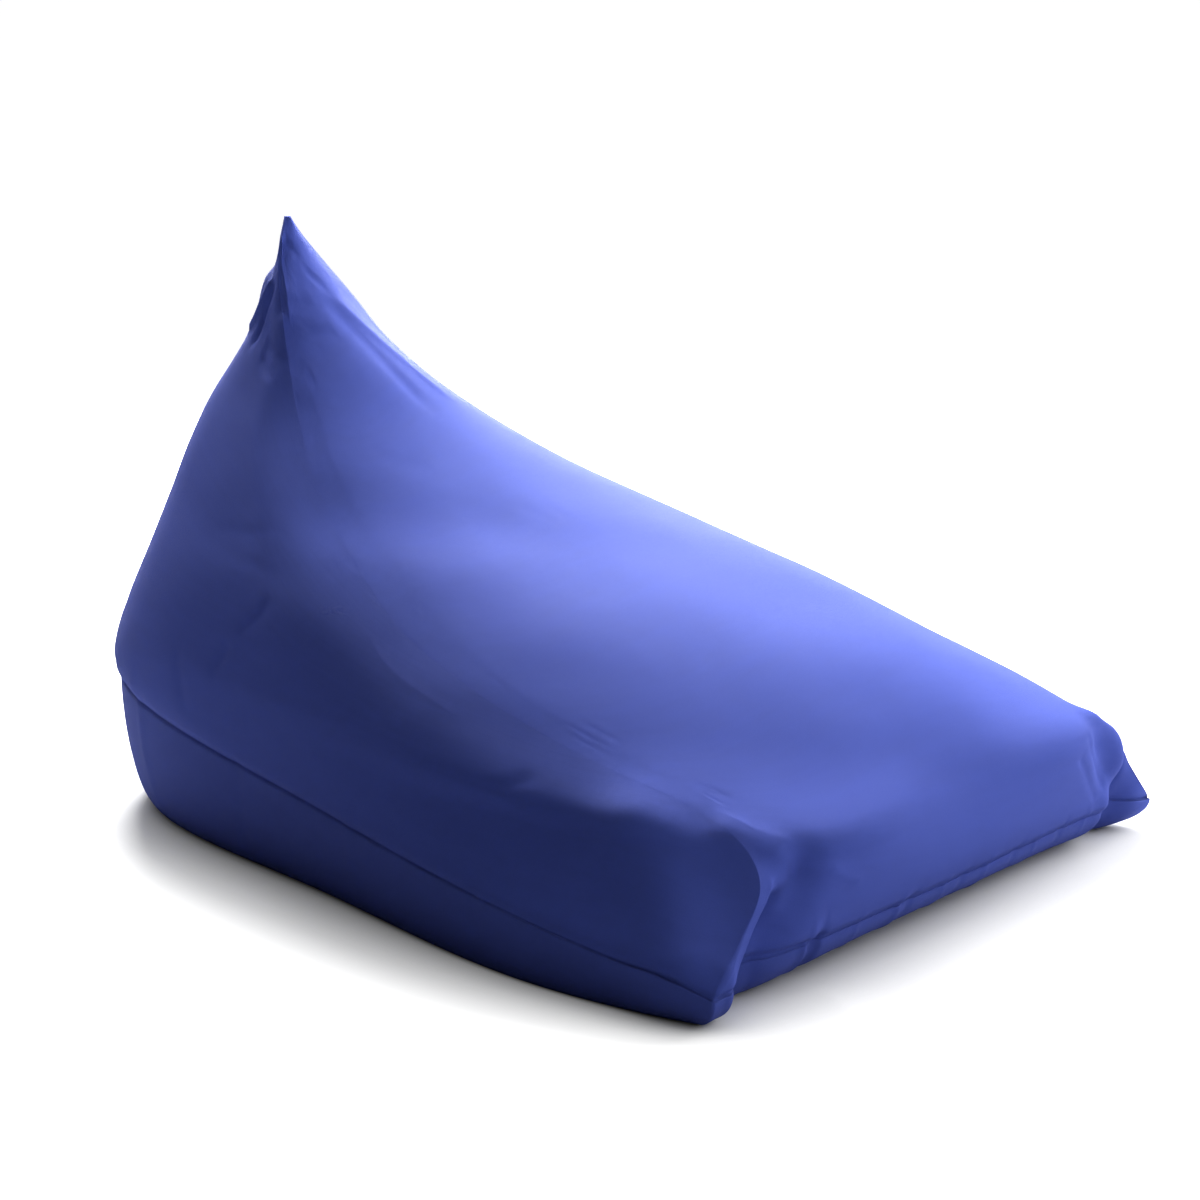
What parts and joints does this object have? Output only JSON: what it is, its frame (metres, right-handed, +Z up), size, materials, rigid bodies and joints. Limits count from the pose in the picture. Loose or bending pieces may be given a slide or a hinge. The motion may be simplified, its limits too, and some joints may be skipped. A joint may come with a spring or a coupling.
{
  "type": "tetrahedral pouf",
  "caption": "Bead-filled floor seat in blue stretch cloth, tetrahedral in form, with a wide front edge, pinched front ears and a tall pointed back.",
  "frame": {"origin": "on the floor, under the middle of the pouf's box", "axes": "+Z up; +Y from the wide front edge towards the back, under the peak; +X along the front edge"},
  "size_m": [1.0094, 1.2666, 0.766],
  "materials": {
    "upper_cloth": "matte fine-knit stretch jersey with a soft sheen",
    "base_cloth": "matte fine-knit stretch jersey with a soft sheen"
  },
  "bodies": {
    "root": {"filled_cover": "upper_cloth", "base_panel": "base_cloth"}
  },
  "joints": []
}
